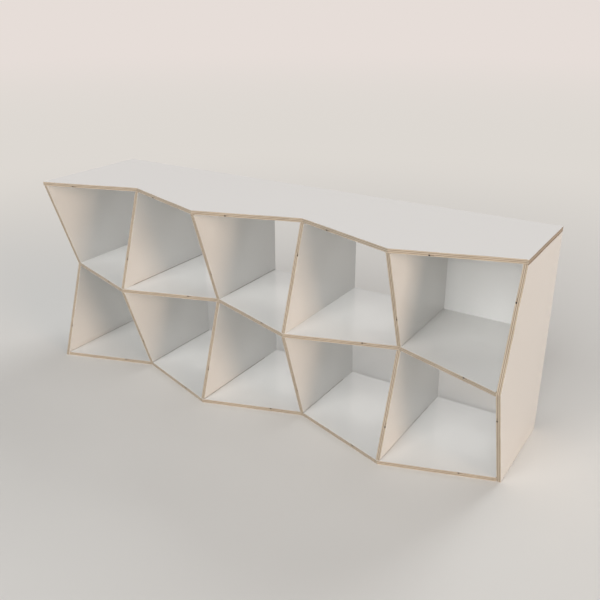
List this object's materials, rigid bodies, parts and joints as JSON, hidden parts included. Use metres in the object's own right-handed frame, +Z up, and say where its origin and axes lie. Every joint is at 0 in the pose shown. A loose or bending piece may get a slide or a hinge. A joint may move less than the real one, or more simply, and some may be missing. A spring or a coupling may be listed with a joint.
{
  "type": "bookshelf",
  "caption": "Low free-standing bookshelf with a faceted zigzag front: white laminated plywood boards and uprights with exposed birch edges form open cells for books.",
  "frame": {"origin": "on the floor, under the centre of the whole box", "axes": "+X along the length, to the right seen from the front; +Y towards the back, so the zigzag front faces -Y; +Z up"},
  "size_m": [1.512, 0.4, 0.612],
  "materials": {
    "laminated_plywood": "matt white laminate on both faces, birch plywood edges under clear matt lacquer",
    "back_panel_board": "matt white laminate on both faces",
    "beech_biscuit": "plain pressed beech"
  },
  "bodies": {
    "root": {"top_board": "laminated_plywood", "middle_shelf": "laminated_plywood", "bottom_board": "laminated_plywood", "left_side": "laminated_plywood", "right_side": "laminated_plywood", "upper_divider_1": "laminated_plywood", "upper_divider_2": "laminated_plywood", "upper_divider_3": "laminated_plywood", "upper_divider_4": "laminated_plywood", "lower_divider_1": "laminated_plywood", "lower_divider_2": "laminated_plywood", "lower_divider_3": "laminated_plywood", "lower_divider_4": "laminated_plywood", "upper_right_back_panel": "back_panel_board", "lower_left_back_panel": "back_panel_board", "top_biscuits": "beech_biscuit", "upper_shelf_biscuits": "beech_biscuit", "lower_shelf_biscuits": "beech_biscuit", "bottom_biscuits": "beech_biscuit", "left_side_biscuits": "beech_biscuit", "right_side_biscuits": "beech_biscuit"}
  },
  "joints": []
}
